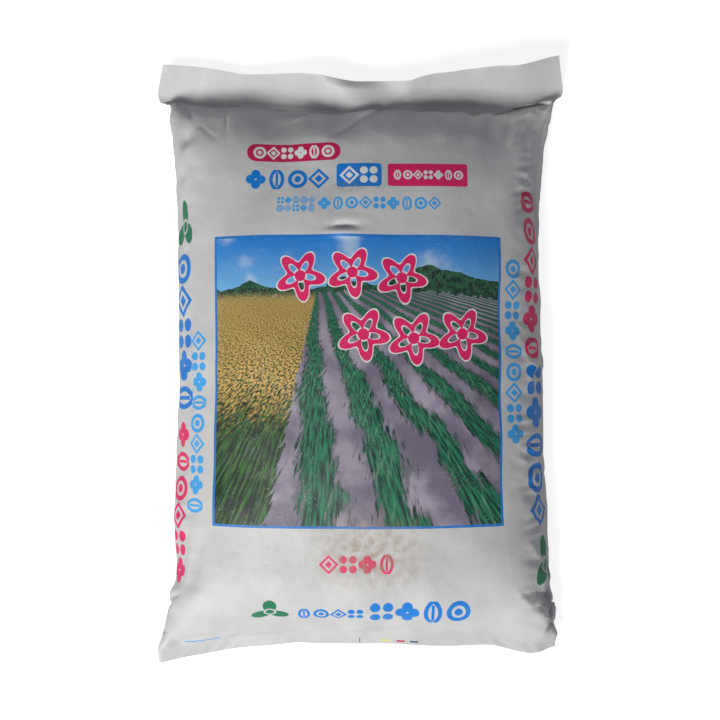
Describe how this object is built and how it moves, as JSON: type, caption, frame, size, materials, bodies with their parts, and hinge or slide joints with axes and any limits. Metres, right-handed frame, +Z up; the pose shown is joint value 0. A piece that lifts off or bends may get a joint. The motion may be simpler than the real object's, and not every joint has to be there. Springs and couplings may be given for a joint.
{
  "type": "compost bag",
  "caption": "Filled pillow-shaped film bag of growing soil, heat-sealed across both ends, lying on its back with its printed face up.",
  "frame": {"origin": "on the floor under the middle of the whole bag, flaps included", "axes": "+X across the printed face to its right, +Y towards the wide top seal, +Z up out of the printed face"},
  "size_m": [0.46, 0.693, 0.128],
  "materials": {
    "film": "satin printed polyethylene film, lightly crumpled"
  },
  "bodies": {
    "root": {"bag": "film"}
  },
  "joints": []
}
